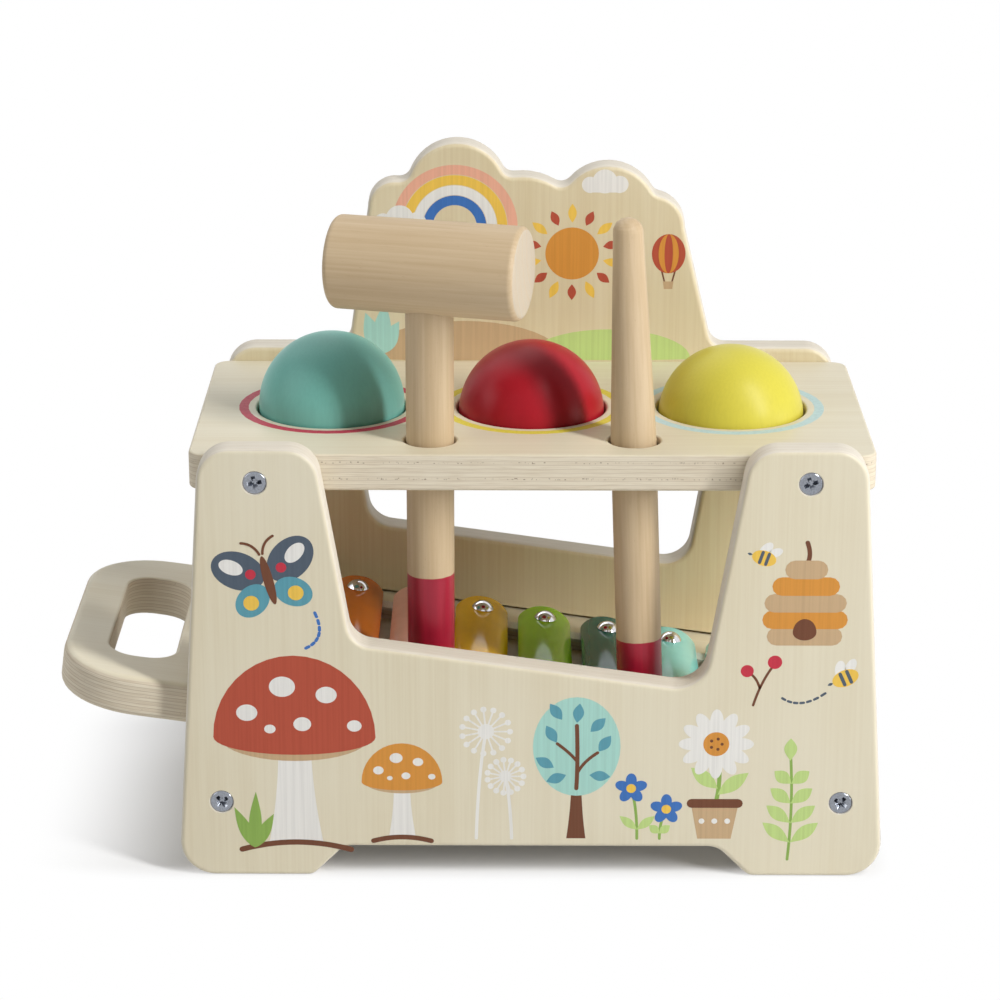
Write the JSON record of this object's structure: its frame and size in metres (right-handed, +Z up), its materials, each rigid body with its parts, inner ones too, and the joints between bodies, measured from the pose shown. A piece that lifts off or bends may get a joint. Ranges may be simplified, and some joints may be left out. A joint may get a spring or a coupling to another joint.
{
  "type": "ball pounding bench",
  "caption": "Wooden toddler bench: coloured balls are pounded through a holed plate with a mallet, fall on a sloping xylophone and roll out; the xylophone slides out by its handle.",
  "frame": {"origin": "middle of the object's footprint on the floor, with the handle of the tray counted in", "axes": "+X to the right along the bench, away from the tray's handle; +Y from the low front panel to the high back panel; +Z up"},
  "size_m": [0.258, 0.1208, 0.209],
  "materials": {
    "birch_plywood": "clear matt lacquer on pale birch plywood",
    "rail_birch": "planed solid birch, matt",
    "zinc_screw": "zinc plated",
    "ring_rubber": "matt",
    "teal_paint": "satin water-based paint",
    "red_paint": "satin water-based paint",
    "yellow_paint": "satin water-based paint",
    "key_rail_birch": "planed solid birch, matt",
    "key_felt": "pressed wool felt",
    "pin_chrome": "polished",
    "beech": "fine-sanded beech, matt",
    "key_1_enamel": "crimson enamel, glossy",
    "key_2_enamel": "orange enamel, glossy",
    "key_3_enamel": "pale pink enamel, glossy",
    "key_4_enamel": "mustard yellow enamel, glossy",
    "key_5_enamel": "lime green enamel, glossy",
    "key_6_enamel": "dark green enamel, glossy",
    "key_7_enamel": "turquoise enamel, glossy",
    "key_8_enamel": "mint enamel, glossy"
  },
  "bodies": {
    "bench": {"front_panel": "birch_plywood", "back_panel": "birch_plywood", "top_plate": "birch_plywood", "left_cross_rail": "rail_birch", "right_cross_rail": "rail_birch", "front_screws": "zinc_screw", "back_screws": "zinc_screw", "left_ring": "ring_rubber", "middle_ring": "ring_rubber", "right_ring": "ring_rubber"},
    "left_ball": {"ball_teal": "teal_paint"},
    "middle_ball": {"ball_red": "red_paint"},
    "right_ball": {"ball_yellow": "yellow_paint"},
    "tray": {"tray_board": "birch_plywood", "rear_key_rail": "key_rail_birch", "front_key_rail": "key_rail_birch", "rear_felt": "key_felt", "front_felt": "key_felt", "key_1": "key_1_enamel", "key_2": "key_2_enamel", "key_3": "key_3_enamel", "key_4": "key_4_enamel", "key_5": "key_5_enamel", "key_6": "key_6_enamel", "key_7": "key_7_enamel", "key_8": "key_8_enamel", "rear_key_pins": "pin_chrome", "front_key_pins": "pin_chrome"},
    "mallet": {"mallet_head": "beech", "mallet_handle": "beech"},
    "stick": {"beater_stick": "beech"}
  },
  "joints": [
    {"name": "left_ball_drop", "type": "slide", "parent": "bench", "child": "left_ball", "axis": [0, 0, -1], "range_m": [-0.024, 0.0486], "deforming": ["left_ring"]},
    {"name": "middle_ball_drop", "type": "slide", "parent": "bench", "child": "middle_ball", "axis": [0, 0, -1], "range_m": [-0.027, 0.0548], "deforming": ["middle_ring"]},
    {"name": "right_ball_drop", "type": "slide", "parent": "bench", "child": "right_ball", "axis": [0, 0, -1], "range_m": [-0.0285, 0.0622], "deforming": ["right_ring"]},
    {"name": "tray_slide", "type": "slide", "parent": "bench", "child": "tray", "axis": [-0.9903, 0, 0.1392], "range_m": [0, 0.2]},
    {"name": "mallet_lift", "type": "slide", "parent": "bench", "child": "mallet", "axis": [0, 0, 1], "range_m": [0, 0.08]},
    {"name": "stick_lift", "type": "slide", "parent": "bench", "child": "stick", "axis": [-0.0383, 0.0488, 0.9981], "range_m": [0, 0.1]}
  ]
}
